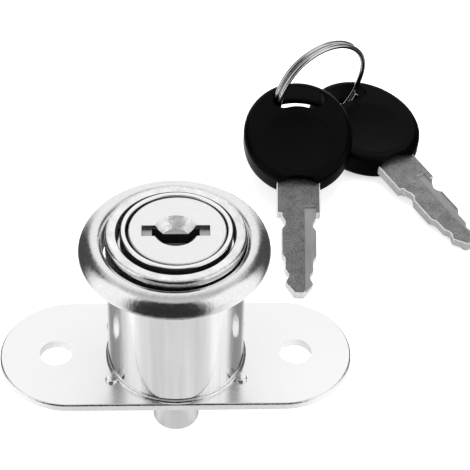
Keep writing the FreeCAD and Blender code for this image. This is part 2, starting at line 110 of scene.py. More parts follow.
# The tent's bands as (from, to, softness), in degrees of azimuth and of elevation
front_band, front_height, front_dark = (-50, 36, 20), (-90, 67, 12), 0.97
side_band, side_height, side_dark = (102, 151, 20), (-90, 54, 24), 0.93
top_height, top_dark = (62, 200, 16), 0.46
bright_band, bright_gain = (-9, 96, 16), 0.08
tent_radius, tent_low, tent_high = 600.0, -2.0, 89.9

# The floor in reflections: a grey patch in front, painted shade near the lock, and the tent's bands from
# far_reach outwards
near_band, near_dark, far_reach = (-56, 50, 30), 0.3, (52, 9999, 16)

# How far out the floor's mesh has its rings, its gap under the pin, and its glow for the camera
floor_reaches = [0.1] + [4 * k for k in range(1, 26)] + [120, 160, 240, 400, 700, 2500]
floor_gap, floor_glow = 0.02, 0.62

# The world's strength as a light, where 1 is what is seen of it
world_light = 0.6

# Camera: its angles in degrees, and where the origin is from the picture's middle
camera_tilt, camera_facing, camera_roll, camera_distance = 43.03, -2.88, 1.64, 300.0
origin_across, origin_rise = -9.67, -19.19
pixels_per_mm, picture_width, sensor_width = 6.10, 470, 36.0


# Materials

def material(name):
    mat = bpy.data.materials.new(name)
    mat.use_nodes = True
    return mat, mat.node_tree


def object_place(tree):
    return tree.nodes.new("ShaderNodeTexCoord").outputs["Object"]


def noise(tree, vector, scale, detail):
    texture = tree.nodes.new("ShaderNodeTexNoise")
    texture.inputs["Scale"].default_value = scale
    texture.inputs["Detail"].default_value = detail
    tree.links.new(vector, texture.inputs["Vector"])
    return texture.outputs["Fac"]


def shades(tree, value, start, end, dark, light):
    """Colours from dark to light as value goes from start to end."""
    ramp = tree.nodes.new("ShaderNodeValToRGB")
    for stop, position, colour in zip(ramp.color_ramp.elements, (start, end), (dark, light)):
        stop.position = position
        stop.color = (*colour, 1)
    tree.links.new(value, ramp.inputs["Fac"])
    return ramp.outputs["Color"]


def remapped(tree, value, start, end, low, high):
    """Numbers from low to high as value goes from start to end."""
    change = tree.nodes.new("ShaderNodeMapRange")
    change.inputs["From Min"].default_value = start
    change.inputs["From Max"].default_value = end
    change.inputs["To Min"].default_value = low
    change.inputs["To Max"].default_value = high
    tree.links.new(value, change.inputs["Value"])
    return change.outputs["Result"]


def raised(tree, height, depth, under=None):
    """The normal of a surface that height raises by up to depth, on top of the normal under."""
    bump = tree.nodes.new("ShaderNodeBump")
    bump.inputs["Strength"].default_value = 1.0
    bump.inputs["Distance"].default_value = depth * MM
    tree.links.new(height, bump.inputs["Height"])
    if under:
        tree.links.new(under, bump.inputs["Normal"])
    return bump.outputs["Normal"]


def metal(name, colour, rough, spread=0.04, grain=900, grain_depth=0.004, stretch=(1, 1, 1),
          mottle=90, mottle_depth=0.0, shade=0.06, speckle=0.3, metallic=1.0, grazing=1.0):
    """A metal whose roughness, tone and surface vary by a fine noise, grain, and a broad one, mottle.

    The tone goes down by the share shade, speckle is the grain's part in that, stretch draws the
    grain out along an axis, and grazing is how much the metal reflects where it turns away.
    """
    mat, tree = material(name)
    shader = tree.nodes["Principled BSDF"]
    shader.inputs["Metallic"].default_value = metallic
    shader.inputs["Specular Tint"].default_value = (grazing, grazing, grazing, 1)
    place = object_place(tree)
    mapping = tree.nodes.new("ShaderNodeMapping")
    mapping.inputs["Scale"].default_value = stretch
    tree.links.new(place, mapping.inputs["Vector"])
    fine = noise(tree, mapping.outputs["Vector"], grain, 4)
    broad = noise(tree, place, mottle, 3)
    mix = tree.nodes.new("ShaderNodeMix")
    mix.inputs["Factor"].default_value = speckle
    tree.links.new(broad, mix.inputs["A"])
    tree.links.new(fine, mix.inputs["B"])
    low, high = 0.3, 0.7
    tone = shades(tree, mix.outputs["Result"], low, high, [c * (1 - shade) for c in colour], colour)
    tree.links.new(tone, shader.inputs["Base Color"])
    roughness = remapped(tree, fine, low, high, max(rough - spread, 0.01), rough + spread)
    tree.links.new(roughness, shader.inputs["Roughness"])
    normal = raised(tree, fine, grain_depth)
    if mottle_depth:
        normal = raised(tree, broad, mottle_depth, normal)
    tree.links.new(normal, shader.inputs["Normal"])
    return mat


def plastic(name, colour, rough, specular):
    """Moulded plastic: a faint orange peel, and a tone and gloss that vary where it is handled."""
    mat, tree = material(name)
    shader = tree.nodes["Principled BSDF"]
    shader.inputs["Specular IOR Level"].default_value = specular
    place = object_place(tree)
    fine = noise(tree, place, 1400, 3)
    broad = noise(tree, place, 160, 4)
    low, high, tone_down, tone_up, spread, peel = 0.35, 0.65, 0.8, 1.25, 0.06, 0.006
    tone = shades(tree, broad, low, high, [c * tone_down for c in colour], [c * tone_up for c in colour])
    tree.links.new(tone, shader.inputs["Base Color"])
    roughness = remapped(tree, broad, low, high, rough - spread, rough + spread)
    tree.links.new(roughness, shader.inputs["Roughness"])
    tree.links.new(raised(tree, fine, peel), shader.inputs["Normal"])
    return mat


plate_chrome = metal("plate_chrome", (0.89, 0.89, 0.893), rough=0.2, grain=1500, mottle=60, shade=0.03,
                     metallic=0.86)
plate_edge = metal("plate_edge", (0.95, 0.95, 0.955), rough=0.24, spread=0.08, grain=1700, grain_depth=0.05,
                   mottle=500, mottle_depth=0.06, shade=0.15, speckle=0.6)
hole_wall = metal("hole_wall", (0.95, 0.95, 0.95), rough=0.7, spread=0.08, grain=1500, grain_depth=0.01,
                  shade=0.04, metallic=0.2)
barrel_chrome = metal("barrel_chrome", (1.0, 1.0, 1.0), rough=0.13, spread=0.05, grain=420, grain_depth=0.07,
                      stretch=(1, 1, 0.05), mottle=150, mottle_depth=0.02, shade=0.28, speckle=0.9)
cast_edge = metal("cast_edge", (0.94, 0.94, 0.945), rough=0.14, spread=0.06, grain=1800, grain_depth=0.03,
                  stretch=(1, 1, 2.5), mottle=600, mottle_depth=0.04, shade=0.4, speckle=0.6)
# Near black for bores and hollows: painted shade where light hardly reaches
bore_painted_shade = metal("bore_painted_shade", (0.05, 0.05, 0.05), rough=0.5, spread=0.1, grain_depth=0.01, shade=0.3,
                  metallic=0.4)
rosette_chrome = metal("rosette_chrome", (0.88, 0.88, 0.885), rough=0.17, spread=0.05, grain=1900,
                       grain_depth=0.02, mottle=300, mottle_depth=0.016, shade=0.12, speckle=0.7)
rim_chrome = metal("rim_chrome", (0.95, 0.95, 0.955), rough=0.16, spread=0.06, grain=1500,
                   grain_depth=0.012, mottle=500, mottle_depth=0.03, shade=0.08, speckle=0.5)
plug_satin = metal("plug_satin", (0.83, 0.83, 0.83), rough=0.33, spread=0.06, grain=3600, grain_depth=0.03,
                   mottle=500, shade=0.08, speckle=0.8, metallic=0.8)
dish_turned = metal("dish_turned", (0.95, 0.95, 0.95), rough=0.3, spread=0.1, grain=1600, grain_depth=0.06,
                    mottle=700, mottle_depth=0.1, shade=0.3, speckle=0.5, metallic=0.55)
# Near black for the plug's keyway, slots and tail: painted shade
slot_painted_shade = metal("slot_painted_shade", (0.04, 0.04, 0.04), rough=0.45, spread=0.1, grain=1200, grain_depth=0.02,
                  shade=0.3, metallic=0.6)
# Grey for the key seat and the dish's floor: painted shade in these recesses
seat_painted_shade = metal("seat_painted_shade", (0.55, 0.55, 0.55), rough=0.35, spread=0.08, grain=2600, grain_depth=0.03,
                  mottle=700, shade=0.3, speckle=0.6)
pin_steel = metal("pin_steel", (0.86, 0.86, 0.87), rough=0.26, spread=0.06, grain=700, grain_depth=0.02,
                  stretch=(1, 1, 0.06), shade=0.24, speckle=0.7, grazing=0.45)
turned_steel = metal("turned_steel", (0.66, 0.66, 0.67), rough=0.3, spread=0.08, grain=500,
                     grain_depth=0.01, stretch=(0.1, 0.1, 1))
spring_steel = metal("spring_steel", (0.55, 0.55, 0.57), rough=0.3, spread=0.08, grain_depth=0.006)
brass = metal("wafer_brass", (0.78, 0.62, 0.32), rough=0.32, spread=0.08, grain_depth=0.01, shade=0.15)
key_steel = metal("key_steel", (0.43, 0.43, 0.432), rough=0.4, spread=0.08, grain=4600, grain_depth=0.06,
                  mottle=500, mottle_depth=0.03, shade=0.8, speckle=0.75)
# Key 2's steel is key 1's steel painted lighter, as painted light
key_2_lit_steel = metal("key_2_lit_steel", (0.54, 0.54, 0.542), rough=0.38, spread=0.08, grain=4600,
                         grain_depth=0.06, mottle=500, mottle_depth=0.03, shade=0.8, speckle=0.75)
key_groove_steel = metal("key_groove_steel", (0.5, 0.5, 0.5), rough=0.34, spread=0.08, grain_depth=0.03,
                         stretch=(1, 0.05, 1), shade=0.3, speckle=0.6)
# Lighter steel for the keys' edges and groove walls: painted highlight
key_edge_steel = metal("key_edge_steel", (0.8, 0.8, 0.8), rough=0.4, spread=0.08, grain=2400,
                       grain_depth=0.04, mottle=600, shade=0.2, speckle=0.6, metallic=0.45)
ring_steel = metal("ring_steel", (0.74, 0.74, 0.745), rough=0.12, spread=0.05, grain_depth=0.01, mottle=300,
                   mottle_depth=0.01, shade=0.3)
key_plastic = plastic("key_plastic", (0.0012, 0.0012, 0.0012), rough=0.3, specular=0.04)


# Outlines

def arc(x, y, radius, start, end, steps):
    """Points on an arc about (x, y), from angle start to angle end in radians, both included."""
    angles = [start + (end - start) * k / steps for k in range(steps + 1)]
    return [(x + radius * math.cos(a), y + radius * math.sin(a)) for a in angles]


def oval(half_width, half_height, x=0.0, y=0.0, count=64):
    angles = [2 * math.pi * k / count for k in range(count)]
    return [(x + half_width * math.cos(a), y + half_height * math.sin(a)) for a in angles]


def circle(radius, x=0.0, y=0.0, count=64):
    return oval(radius, radius, x, y, count)


def arc_through(start, through, end, steps=14):
    """Points on the arc from start through a middle point to end, without the last one."""
    (ax, ay), (bx, by), (cx, cy) = start, through, end
    d = 2 * (ax * (by - cy) + bx * (cy - ay) + cx * (ay - by))
    a2, b2, c2 = ax ** 2 + ay ** 2, bx ** 2 + by ** 2, cx ** 2 + cy ** 2
    x = (a2 * (by - cy) + b2 * (cy - ay) + c2 * (ay - by)) / d
    y = (a2 * (cx - bx) + b2 * (ax - cx) + c2 * (bx - ax)) / d
    first, middle, last = [math.atan2(py - y, px - x) for px, py in (start, through, end)]
    sweep = (last - first) % (2 * math.pi)
    if (middle - first) % (2 * math.pi) > sweep:
        sweep -= 2 * math.pi
    return arc(x, y, math.hypot(ax - x, ay - y), first, first + sweep, steps)[:-1]


def rounded(points, steps=5):
    """A closed outline with rounded corners, from (x, y, radius, material number)."""
    out = []
    for i, (x, y, radius, mark) in enumerate(points):
        here = Vector((x, y))
        if radius <= 0:
            out.append((x, y, mark))
            continue
        before = (Vector(points[i - 1][:2]) - here).normalized()
        after = (Vector(points[(i + 1) % len(points)][:2]) - here).normalized()
        half = before.angle(after) / 2
        centre = here + (before + after).normalized() * (radius / math.sin(half))
        start = here + before * (radius / math.tan(half)) - centre
        end = here + after * (radius / math.tan(half)) - centre
        turn = math.atan2(start.x * end.y - start.y * end.x, start.dot(end))
        for k in range(steps + 1):
            a = turn * k / steps
            out.append((centre.x + start.x * math.cos(a) - start.y * math.sin(a),
                        centre.y + start.x * math.sin(a) + start.y * math.cos(a), mark))
    return out


def quarter(radius, steps=5):
    """(inset, drop) pairs down a rounded edge, from the flat face to the side."""
    angles = [math.pi / 2 * k / steps for k in range(steps + 1)]
    return [(radius * (1 - math.sin(a)), radius * (1 - math.cos(a))) for a in angles]


def rounded_layers(outline, thickness, radius):
    """Layers of a flat piece, centred on z = 0, whose rims are rounded; outline(inset) gives points."""
    top = [(outline(inset), thickness / 2 - drop) for inset, drop in quarter(radius)]
    return [(points, -z) for points, z in top] + list(reversed(top))


def relieved_layers(outline, thickness, relief):
    """Layers of a cutter through such a piece, for a hole that is wider inside than at the faces."""
    top = [(outline(relief - inset), thickness / 2 - drop) for inset, drop in reversed(quarter(relief))]
    top.append((outline(0), thickness / 2 + past))
    return [(points, -z) for points, z in reversed(top)] + top


# Meshes

def finish_mesh(name, bm, materials):
    """Turns the faces outwards and makes the mesh an object."""
    bmesh.ops.recalc_face_normals(bm, faces=bm.faces)
    mesh = bpy.data.meshes.new(name)
    bm.to_mesh(mesh)
    bm.free()
    return link(name, mesh, materials)


def link(name, mesh, materials):
    for mat in materials:
        mesh.materials.append(mat)
    obj = bpy.data.objects.new(name, mesh)
    bpy.context.scene.collection.objects.link(obj)
    return obj


def bridge(bm, rings):
    """Joins rings of as many points each to a closed tube with flat ends."""
    for low, high in zip(rings, rings[1:]):
        for k in range(len(low)):
            n = (k + 1) % len(low)
            bm.faces.new((low[k], low[n], high[n], high[k]))
    bm.faces.new(list(reversed(rings[0])))
    bm.faces.new(rings[-1])


def lathe(name, profile, materials, segments=160):
    """A closed profile of (r, z, material number) in the XZ plane, turned about Z.

    A point's number is that of the strip from it to the next point.
    """
    bm = bmesh.new()
    rings = []
    for r, z, _ in profile:
        points = circle(r * MM, count=segments) if r else [(0, 0)]
        rings.append([bm.verts.new((x, y, z * MM)) for x, y in points])
    for i, (_, _, mark) in enumerate(profile):
        low, high = rings[i], rings[(i + 1) % len(rings)]
        if len(low) == 1 and len(high) == 1:
            continue
        for k in range(segments):
            n = (k + 1) % segments
            corners = [low[k % len(low)], low[n % len(low)], high[n % len(high)], high[k % len(high)]]
            face = bm.faces.new(list(dict.fromkeys(corners)))
            face.material_index = mark
    return finish_mesh(name, bm, materials)


def stack(name, layers, materials, mark=0):
    """Closed outlines with the same number of points, each (points, z), joined from low to high."""
    bm = bmesh.new()
    bridge(bm, [[bm.verts.new((x * MM, y * MM, z * MM)) for x, y in points] for points, z in layers])
    for face in bm.faces:
        face.material_index = mark
    return finish_mesh(name, bm, materials)


def prism(name, outline, low, high, materials, mark=0):
    return stack(name, [(outline, low), (outline, high)], materials, mark)


def block(name, x0, x1, y0, y1, z0, z1, materials, mark=0):
    return prism(name, [(x0, y0), (x1, y0), (x1, y1), (x0, y1)], z0, z1, materials, mark)


def evaluated_mesh(obj):
    bpy.context.view_layer.update()
    return bpy.data.meshes.new_from_object(obj.evaluated_get(bpy.context.evaluated_depsgraph_get()))


def combine(obj, other, operation="DIFFERENCE"):
    """Cuts other from obj, or joins it, and removes other. Cut faces keep other's material number."""
    change = obj.modifiers.new("change", "BOOLEAN")
    change.operation = operation
    change.solver = "EXACT"
    change.object = other
    mesh = evaluated_mesh(obj)
    obj.modifiers.clear()
    old = obj.data
    obj.data = mesh
    bpy.data.meshes.remove(old)
    bpy.data.objects.remove(other)
    return obj


def smooth(obj, angle=32):
    """Smooth shading between soft edges, with the flat faces kept flat."""
    for face in obj.data.polygons:
        face.use_smooth = True
    obj.data.set_sharp_from_angle(angle=math.radians(angle))
    weights = obj.modifiers.new("weights", "WEIGHTED_NORMAL")
    weights.keep_sharp = True
    return obj


def shift(obj, matrix):
    obj.data.transform(matrix)
    return obj


def turned(degrees, axis):
    return Matrix.Rotation(math.radians(degrees), 4, axis)


def moved(x, y, z):
    return Matrix.Translation(Vector((x, y, z)) * MM)


def play(obj, offset, above):
    """Moves the part of a piece above a level sideways by its play."""
    for vertex in obj.data.vertices:
        if vertex.co.z > above * MM:
            vertex.co.x += offset[0] * MM
            vertex.co.y += offset[1] * MM
    return obj


def mark_faces(obj, mark, wanted):
    """Gives the faces that wanted(face) picks another material number."""
    for face in obj.data.polygons:
        if wanted(face):
            face.material_index = mark
    return obj


def steep(face):
    """True for a face that isn't level."""
    return abs(face.normal.z) < 0.95


def dress(piece, body, node=None):
    """Hides the solid a piece stands for and hangs the piece on the body it rides on."""
    if node:
        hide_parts(node)
    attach(piece, body)
    return piece


# Mounting plate: its faces, its holes' walls and its edge

wall_mark, rim_mark = 1, 2


def stadium(inset):
    half, r, right = (plate_length - plate_width) / 2, plate_width / 2 - inset, math.pi / 2
    return arc(half, 0, r, -right, right, 48) + arc(-half, 0, r, right, 3 * right, 48)


def fixing_hole(grow):
    return circle(fixing_hole_d / 2 + grow)


plate = stack("plate", rounded_layers(stadium, plate_thickness, plate_rounding),
              [plate_chrome, hole_wall, plate_edge])
mark_faces(plate, rim_mark, steep)
for side in (-1, 1):
    hole = stack("hole", relieved_layers(fixing_hole, plate_thickness, fixing_relief),
                 [plate_chrome, hole_wall], wall_mark)
    combine(plate, shift(hole, moved(side * fixing_spacing / 2, 0, 0)))
spigot_hole = circle(spigot_d / 2, count=96)
combine(plate, prism("hole", spigot_hole, -plate_thickness, plate_thickness, [plate_chrome]))
shift(plate, moved(0, 0, -plate_thickness / 2))
dress(smooth(plate), "lock_body", "mounting_plate")

# Barrel: its side, its top edge and foot as cast, and its mouth and bore painted near black as painted shade

# dark is the number of the mouth's and bore's painted shade
chrome, cast, dark = 0, 1, 2
barrel = lathe("barrel", rounded([
    (bush_r, -plate_thickness, 0, chrome), (spigot_d / 2, -plate_thickness, spigot_rounding, chrome),
    (spigot_d / 2, 0, 0, cast), (foot_r, 0, 0, cast), (foot_r, foot_height, foot_rounding, cast),
    (barrel_r, foot_height, foot_fillet, chrome), (barrel_r, barrel_top - barrel_band, 0, cast),
    (barrel_r, barrel_top, barrel_rounding, cast), (barrel_r - barrel_lip, barrel_top, 0, chrome),
    (mouth_r, barrel_top, mouth_rounding, dark), (mouth_r, barrel_top - mouth_depth, 0, dark),
    (bore_r, barrel_top - mouth_depth, 0, dark), (bore_r, barrel_floor, 0, dark),
    (bush_r, barrel_floor, 0, dark)]), [barrel_chrome, cast_edge, bore_painted_shade], segments=192)
dress(smooth(barrel), "lock_body", "barrel_housing")


def lug_outline(inset):
    r, root, middle = lug_width / 2 - inset, barrel_r - lug_root, foot_r + lug_reach - lug_width / 2
    return [(root, -r)] + arc(middle, 0, r, -math.pi / 2, math.pi / 2, 20) + [(root, r)]


for i, angle in enumerate((-lug_angle, lug_angle, 180 - lug_angle, 180 + lug_angle)):
    layers = [(lug_outline(inset), lug_height - drop) for inset, drop in reversed(quarter(lug_rounding))]
    lug = stack("barrel_lug_%d" % (i + 1), [(lug_outline(0), 0.0)] + layers, [rim_chrome])
    dress(smooth(shift(lug, turned(angle, "Z"))), "lock_body")


# Rosette: a thin flared ring with a collar, whose bore is painted dark as painted shade

def bulged(low, high, fullness=0.7):
    """The arc from low to high, which swells towards high's level and low's radius."""
    through = (low[0] + (high[0] - low[0]) * (1 - fullness), low[1] + (high[1] - low[1]) * fullness)
    return arc_through(low, through, high)


collar_r, collar_foot = rosette_bore + rosette_wall, rosette_lip - rosette_collar
lip, crest = (rosette_bore, rosette_lip), (rosette_bore + rosette_crest_run, rosette_crest)
rim, rim_low = (rosette_r, rosette_rim), rosette_rim - rosette_edge
under_rim, under_crest = (rosette_r - rosette_wall, rim_low), (collar_r, rosette_crest - rosette_wall)
section = (bulged(lip, crest) + list(reversed(bulged(rim, crest)))
           + [(rosette_r, rim_low + rosette_chamfer), (rosette_r - rosette_chamfer, rim_low)]
           + bulged(under_rim, under_crest) + [under_crest]
           + [(collar_r, collar_foot + collar_chamfer), (collar_r - collar_chamfer, collar_foot)])
# The bore's strip takes material 1, the painted shade
rosette = lathe("rosette_ring", [(rosette_bore, collar_foot, 1)] + [(r, z, 0) for r, z in section],
                [rosette_chrome, bore_painted_shade], segments=224)
play(rosette, rosette_play, 0)
dress(smooth(rosette), "rosette", "rosette")

# Push cylinder: a sleeve with a rim, grooves for the wafers and a window for the catch

# The bore, grooves and window take the painted shade
bright, sleeve_shade = 0, 1
sleeve_materials = [rim_chrome, bore_painted_shade]
sleeve = lathe("sleeve", rounded([
    (rear_bore, sleeve_rear, 0, bright), (sleeve_r, sleeve_rear, sleeve_rounding, bright),
    (sleeve_r, rim_floor, 0, bright), (rim_r, rim_floor, 0, bright),
    (rim_r, sleeve_top, rim_rounding, bright), (rim_bore, sleeve_top, rim_bore_rounding, bright),
    (rim_bore, plug_face - rim_gap_lit, 0, sleeve_shade), (rim_bore, rim_floor, 0, sleeve_shade),
    (plug_bore, rim_floor, 0, sleeve_shade), (plug_bore, plug_rear, 0, sleeve_shade),
    (rear_bore, plug_rear, 0, sleeve_shade)]), sleeve_materials, segments=192)
arm = [(wafer_groove_r, -wafer_groove_half), (wafer_groove_r, wafer_groove_half),
       (wafer_groove_half, wafer_groove_half)]
cross = []
for _ in range(4):
    cross += arm
    arm = [(-y, x) for x, y in arm]
wafers_low = plug_rear + wafer_first - wafer_pitch / 2
wafers_high = wafers_low + wafer_count * wafer_pitch
combine(sleeve, prism("cross", cross, wafers_low, wafers_high, sleeve_materials, sleeve_shade))
combine(sleeve, block("window", -window_half, window_half, 0, window_reach, catch_low - window_play,
                      catch_high + window_play, sleeve_materials, sleeve_shade))
play(sleeve, rim_play, rim_floor + near)
dress(smooth(sleeve), "push_cylinder", "cylinder_sleeve")

pin = lathe("pin", rounded([
    (0, pin_end, 0, 0), (pin_r, pin_end, pin_rounding, 0), (pin_r, pin_guide_end, 0, 0),
    (pin_guide_r, pin_guide_end, 0, 0), (pin_guide_r, sleeve_rear, 0, 0), (tenon_r, sleeve_rear, 0, 0),
    (tenon_r, cap_top, 0, 0), (tenon_head_r, cap_top, 0, 0),
    (tenon_head_r, cap_top + tenon_head, tenon_rounding, 0), (0, cap_top + tenon_head, 0, 0)]),
    [pin_steel], segments=128)
dress(smooth(pin), "push_cylinder", "plunger_pin")

# Plug: its face, the dish's turned wall, its slots painted dark and its seat and dish floor painted grey, all
# as painted shade

face_mark, turned_mark, shade_mark, grey_shade_mark = 0, 1, 2, 3
plug_materials = [plug_satin, dish_turned, slot_painted_shade, seat_painted_shade]
plug = lathe("plug", rounded([
    (0, tail_end, 0, shade_mark), (tail_r, tail_end, tail_rounding, shade_mark),
    (tail_r, clip_low, 0, shade_mark), (neck_r, clip_low, 0, shade_mark), (neck_r, clip_high, 0, shade_mark),
    (tail_r, clip_high, 0, shade_mark), (tail_r, plug_rear, 0, shade_mark), (plug_r, plug_rear, 0, shade_mark),
    (plug_r, plug_shoulder, 0, face_mark), (plug_head_r, plug_shoulder, 0, face_mark),
    (plug_head_r, plug_face, plug_rounding, face_mark), (0, plug_face, 0, face_mark)]),
    plug_materials, segments=192)
play(plug, plug_play, plug_shoulder - near)
combine(plug, block("lobe", 0, lobe_reach, -lobe_half, lobe_half, catch_low, catch_high,
                    plug_materials, shade_mark), "UNION")
combine(plug, block("seat", -seat_width / 2, seat_width / 2, -seat_height / 2, seat_height / 2,
                    plug_face - seat_depth, plug_face + past, plug_materials, grey_shade_mark))
dish_floor, dish_top_r = plug_face - dish_depth, dish_r + (dish_r - dish_floor_r) / dish_depth * past
combine(plug, lathe("dish", [
    (0, dish_floor, turned_mark), (dish_floor_r, dish_floor, turned_mark),
    (dish_top_r, plug_face + past, turned_mark), (0, plug_face + past, turned_mark)],
    plug_materials, segments=96))
combine(plug, block("keyway", -keyway_width / 2, keyway_width / 2, -keyway_height / 2, keyway_height / 2,
                    tail_end - past, plug_face + past, plug_materials, shade_mark))
for i in range(wafer_count):
    level = plug_rear + wafer_first + i * wafer_pitch
    outline = [(-slot_reach, -slot_half_y), (slot_reach, -slot_half_y), (slot_reach, slot_half_y),
               (pocket_x, slot_half_y), (pocket_x, ear_y), (-pocket_x, ear_y), (-pocket_x, slot_half_y),
               (-slot_reach, slot_half_y)]
    combine(plug, prism("slot", outline, level - slot_half_z, level + slot_half_z, plug_materials, shade_mark))


def dish_front_shade(face):
    """The dish's wall in front of the keyway, which is painted dark as painted shade."""
    return face.material_index == turned_mark and face.center.y < -keyway_height / 2 * MM


# The dish's floor, which is painted grey as painted shade
def dish_bottom_shade(face):
    return face.material_index == turned_mark and not steep(face)


mark_faces(plug, shade_mark, dish_front_shade)
mark_faces(plug, grey_shade_mark, dish_bottom_shade)
dress(smooth(plug), "plug", "lock_plug")


# Keys, each built flat with its tip at the origin and its head along +Y

def key_matrix(x, y, heading, tilt, roll):
    """Puts a key's tip at (x, y), down on the floor that the pin's end stands on."""
    turn = turned(heading, "Z") @ turned(tilt, "X") @ turned(roll, "Y")
    corners = [(turn @ Vector((side * tip_width / 2, 0, -key_thickness / 2))).z for side in (-1, 1)]
    return moved(x, y, pin_end - min(corners)) @ turn


def blade_side():
    """The blade's right edge from tip to stop, as (x, y, radius), with level cuts run together."""
    half = blade_width / 2
    side = [(tip_width / 2, 0.0, tip_rounding), (half - cut_step, tip_slope, nose_rounding)]
    for i, steps in enumerate(cut_steps):
        middle, width = first_cut + i * cut_pitch, half - steps * cut_step
        side += [(width, middle - cut_flat / 2, cut_rounding), (width, middle + cut_flat / 2, cut_rounding)]
    side += [(half, blade_length - cut_flat, cut_rounding), (half, blade_length, stop_rounding)]
    kept = []
    for point in side:
        if len(kept) > 1 and kept[-1][0] == kept[-2][0] == point[0]:
            kept.pop()
        kept.append(point)
    return kept


def flat_curve(name, outline, thickness, edge, materials):
    """A flat piece from a 2D outline, with its rims bevelled by edge."""
    curve = bpy.data.curves.new(name, "CURVE")
    curve.dimensions = "2D"
    curve.fill_mode = "BOTH"
    spline = curve.splines.new("POLY")
    spline.points.add(len(outline) - 1)
    for point, (x, y) in zip(spline.points, outline):
        point.co = (x * MM, y * MM, 0, 1)
    spline.use_cyclic_u = True
    curve.extrude = (thickness / 2 - edge) * MM
    curve.bevel_depth = edge * MM
    curve.bevel_resolution = 1
    curve.offset = -edge * MM
    holder = bpy.data.objects.new(name, curve)
    bpy.context.scene.collection.objects.link(holder)
    mesh = evaluated_mesh(holder)
    bpy.data.objects.remove(holder)
    bm = bmesh.new()
    bm.from_mesh(mesh)
    bpy.data.meshes.remove(mesh)
    bmesh.ops.remove_doubles(bm, verts=bm.verts, dist=1e-7)
    return finish_mesh(name, bm, materials)


def key_blade(name, steel):
    """A blade with its faces in steel, a groove in each face, and its edges and groove walls lighter as a
    painted highlight.
    """
    groove_mark, highlight_mark = 1, 2
    foot = key_length - head_height
    shank_end, top = foot + head_notch + shank_in_head, foot + tang_length
    right = blade_side() + [(shank_width / 2, blade_length, shank_rounding), (shank_width / 2, shank_end, 0),
                            (tang_width / 2, shank_end, 0), (tang_width / 2, top, 0)]
    left = [(-x, y, r) for x, y, r in reversed(right)]
    outline = [(x, y) for x, y, _ in rounded([(x, y, r, 0) for x, y, r in right + left], 4)]
    blade = flat_curve(name, outline, key_thickness, blade_bevel, [steel, key_groove_steel, key_edge_steel])
    mark_faces(blade, highlight_mark, steep)
    for flip in (0, 180):
        groove = block("groove", groove_side, groove_side + groove_width, -past, groove_length,
                       key_thickness / 2 - groove_depth, key_thickness, [steel, key_groove_steel],
                       groove_mark)
        combine(blade, shift(groove, turned(flip, "Y")))
    mark_faces(blade, highlight_mark, lambda face: face.material_index == groove_mark and steep(face))
    return smooth(blade, 28)


def ring_slot(grow):
    """The outline of the curved slot for the ring in a head, made larger by grow."""
    middle, r = key_length - head_height / 2, slot_width / 2 + grow
    half_turn = (slot_length - slot_width) / 2 / slot_radius
    right, left = math.pi / 2 - half_turn, math.pi / 2 + half_turn

    def end_cap(angle, start):
        x, y = slot_radius * math.cos(angle), middle + slot_radius * math.sin(angle)
        return arc(x, y, r, start, start + math.pi, 16)[1:-1]

    return (arc(0, middle, slot_radius + r, right, left, 24) + end_cap(left, left)
            + arc(0, middle, slot_radius - r, left, right, 24) + end_cap(right, right + math.pi))


def key_head(name):
    """A moulded head with a notch at its foot, the ring slot, a dish in each face and a tang hole."""
    foot, middle = key_length - head_height, key_length - head_height / 2
    materials = [key_plastic]

    def rim_outline(inset):
        return oval(head_width / 2 - inset, head_height / 2 - inset, y=middle, count=128)

    def notch_outline(grow):
        return circle(head_notch_r + grow, y=foot + head_notch - head_notch_r, count=96)

    head = stack(name, rounded_layers(rim_outline, head_thickness, head_edge), materials)
    combine(head, stack("notch", relieved_layers(notch_outline, head_thickness, notch_relief), materials))
    combine(head, stack("slot", relieved_layers(ring_slot, head_thickness, slot_relief), materials))
    ball = (thumb_dish_r ** 2 + thumb_dish_depth ** 2) / (2 * thumb_dish_depth)
    dish_low, steps = head_thickness / 2 - thumb_dish_depth, 24
    radii = [thumb_dish_r * bowl_overrun * k / steps for k in range(steps + 1)]
    bowl = [(r, dish_low + ball - math.sqrt(ball ** 2 - r ** 2), 0) for r in radii] + [(0, head_thickness, 0)]
    for flip in (0, 180):
        dish = lathe("thumb_dish", bowl, materials, segments=96)
        combine(head, shift(dish, turned(flip, "Y") @ moved(0, middle - thumb_dish_drop, 0)))
    half_width, half_thickness = tang_width / 2 + tang_play, (key_thickness + tang_play) / 2
    combine(head, block("tang", -half_width, half_width, foot, foot + tang_length + tang_play,
                        -half_thickness, half_thickness, materials))
    return smooth(head, 40)


for number, steel in ((1, key_steel), (2, key_2_lit_steel)):
    place, body = key_matrix(*key_places[number]), "key_%d" % number
    blade = shift(key_blade("blade_%d" % number, steel), place)
    dress(blade, body, "key_%d_blade" % number)
    head = shift(key_head("head_%d" % number), place)
    dress(head, body, "key_%d_head" % number)


# Split ring

def wire(name, points, radius, materials, sides=20):
    """A round wire along points, in metres, with slightly rounded ends."""
    rounded_end = [(0.72, 0.0), (0.93, 0.07), (1.0, 0.2)]
    bm = bmesh.new()
    rings = []
    side = (points[1] - points[0]).orthogonal()
    last = len(points) - 1
    for i, point in enumerate(points):
        along = (points[min(i + 1, last)] - points[max(i - 1, 0)]).normalized()
        side = (side - along * side.dot(along)).normalized()
        up = along.cross(side)
        steps = [(1.0, point)]
        if i == 0:
            steps = [(share, point + along * back * radius) for share, back in rounded_end]
        if i == last:
            steps = [(share, point - along * back * radius) for share, back in reversed(rounded_end)]
        for share, middle in steps:
            rings.append([bm.verts.new(middle + (side * x + up * y) * radius * share)
                          for x, y in circle(1, count=sides)])
    bridge(bm, rings)
    return finish_mesh(name, bm, materials)


